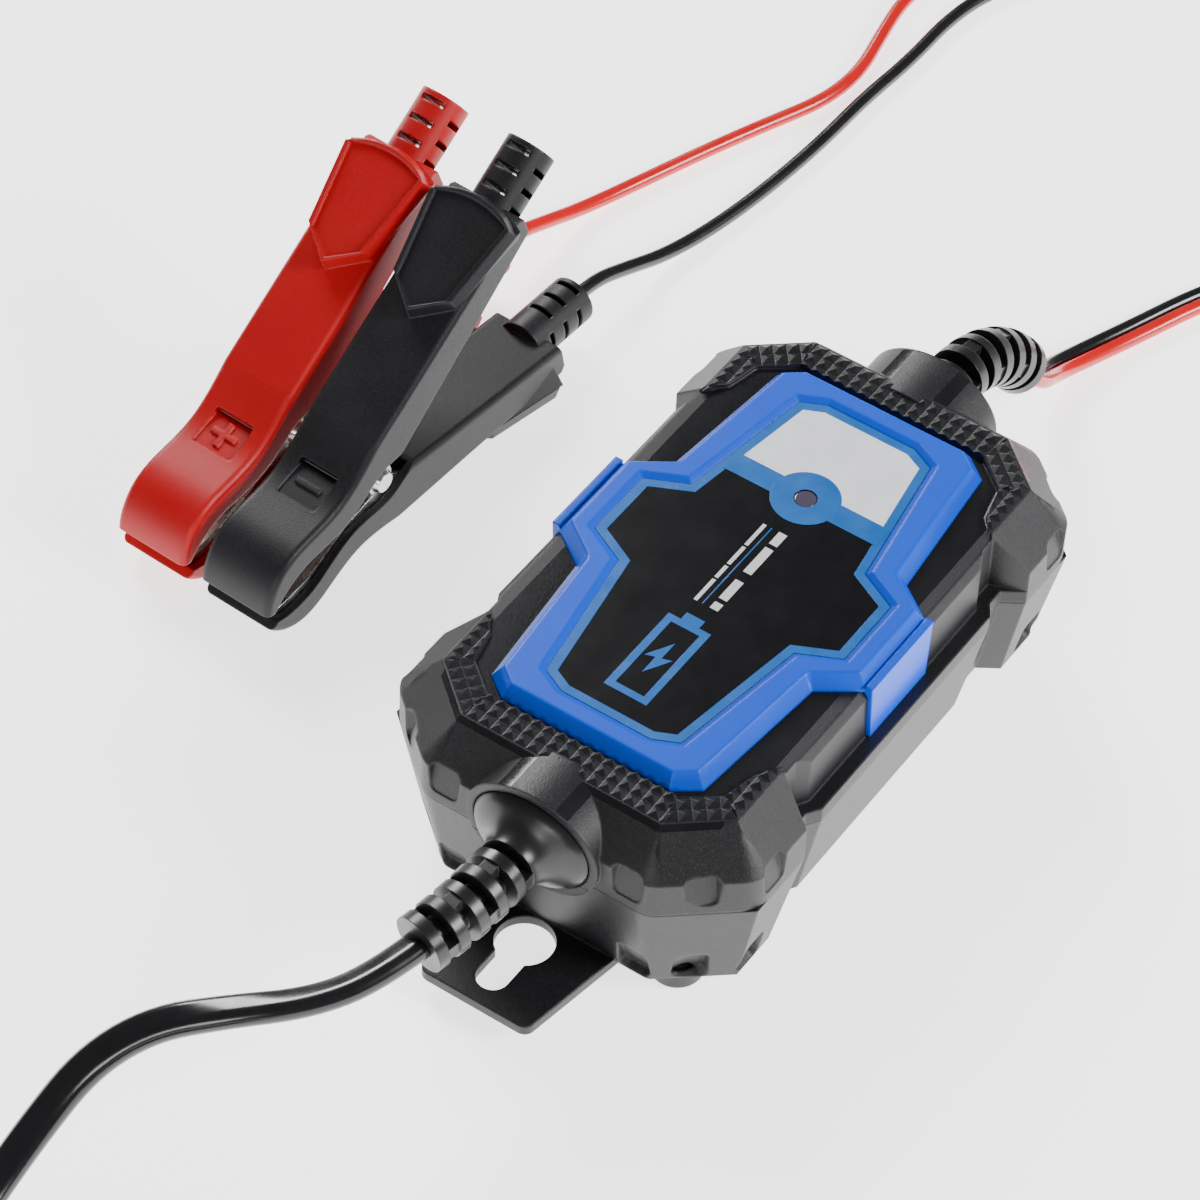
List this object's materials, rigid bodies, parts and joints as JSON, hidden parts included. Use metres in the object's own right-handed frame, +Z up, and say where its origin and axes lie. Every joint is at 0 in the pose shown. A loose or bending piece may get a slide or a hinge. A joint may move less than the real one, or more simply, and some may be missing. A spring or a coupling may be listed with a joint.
{
  "type": "car battery charger",
  "caption": "Small smart charger with a blue-framed label, a mains lead with a two-pin plug, and a DC lead to red and black spring clamps.",
  "frame": {"origin": "centre of the housing's bounding box, cords and clamps left out, at the surface it stands on", "axes": "+X along the housing from its mains end to its DC end; +Y across it towards the side the clamps lie on; +Z up"},
  "size_m": [0.4815, 0.205, 0.0602],
  "materials": {
    "housing": "spark-textured satin black ABS",
    "bezel": "fine-textured satin blue",
    "label": "glossy printed film",
    "window": "frosted translucent white",
    "lens": "clear diffusing lens",
    "relief": "smooth semi-gloss PVC",
    "mains_flex": "smooth glossy PVC sheath",
    "red_insulation": "smooth glossy PVC",
    "black_insulation": "smooth glossy PVC",
    "red_grip": "fine-textured red",
    "black_grip": "fine-textured black",
    "jaw_steel": "nickel-plated pressed steel",
    "spring_steel": "bright spring wire",
    "terminal_metal": "tinned crimp",
    "steel": "zinc-plated screw",
    "board": "green solder mask",
    "ferrite": "sintered ferrite",
    "winding_tape": "yellow polyester tape",
    "capacitor_sleeve": "shrink sleeve",
    "safety_yellow": "moulded box",
    "chip": "moulded epoxy",
    "heatsink_metal": "extruded",
    "ceramic": "glazed tube",
    "led": "clear epoxy",
    "core_insulation": "smooth PVC",
    "plug": "smooth moulded black PVC",
    "pin_metal": "nickel-plated brass"
  },
  "bodies": {
    "charger": {"top_shell": "housing", "bottom_shell": "housing", "housing_screws": "steel", "bezel": "bezel", "face_label": "label", "display_window": "window", "status_led_lens": "lens", "mains_strain_relief": "relief", "dc_strain_relief": "relief", "circuit_board": "board", "board_screws": "steel", "transformer_core": "ferrite", "transformer_winding": "winding_tape", "input_capacitor": "capacitor_sleeve", "output_capacitor": "capacitor_sleeve", "bridge_rectifier": "chip", "safety_capacitor": "safety_yellow", "control_chip": "chip", "power_mosfet": "chip", "heatsink": "heatsink_metal", "fuse": "ceramic", "indicator_leds": "led", "mains_core_ends": "core_insulation", "output_core_ends": "core_insulation", "mains_cord": "mains_flex", "mains_coil": "mains_flex", "plug_body": "plug", "plug_pins": "pin_metal", "dc_lead": "red_insulation", "dc_coil": "black_insulation", "red_wire": "red_insulation", "black_wire": "black_insulation", "red_lower_grip": "red_grip", "red_lower_jaw": "jaw_steel", "red_rivet": "jaw_steel", "red_spring": "spring_steel", "red_terminal": "terminal_metal", "black_lower_grip": "black_grip", "black_lower_jaw": "jaw_steel", "black_rivet": "jaw_steel", "black_spring": "spring_steel", "black_terminal": "terminal_metal"},
    "red_clamp_upper": {"red_upper_grip": "red_grip", "red_upper_jaw": "jaw_steel"},
    "black_clamp_upper": {"black_upper_grip": "black_grip", "black_upper_jaw": "jaw_steel"}
  },
  "joints": [
    {"name": "red_clamp_hinge", "type": "hinge", "parent": "charger", "child": "red_clamp_upper", "pos_m": [0.0091, 0.09967, 0.016], "axis": [0.0523, 0.9986, 0], "range_deg": [0, 32], "stiffness_Nm_per_rad": 0.3, "springref_deg": -28.65, "deforming": ["red_spring"]},
    {"name": "black_clamp_hinge", "type": "hinge", "parent": "charger", "child": "black_clamp_upper", "pos_m": [0.0081, 0.0806, 0.016], "axis": [0.0523, 0.9986, 0], "range_deg": [0, 32], "stiffness_Nm_per_rad": 0.3, "springref_deg": -28.65, "deforming": ["black_spring"]}
  ]
}
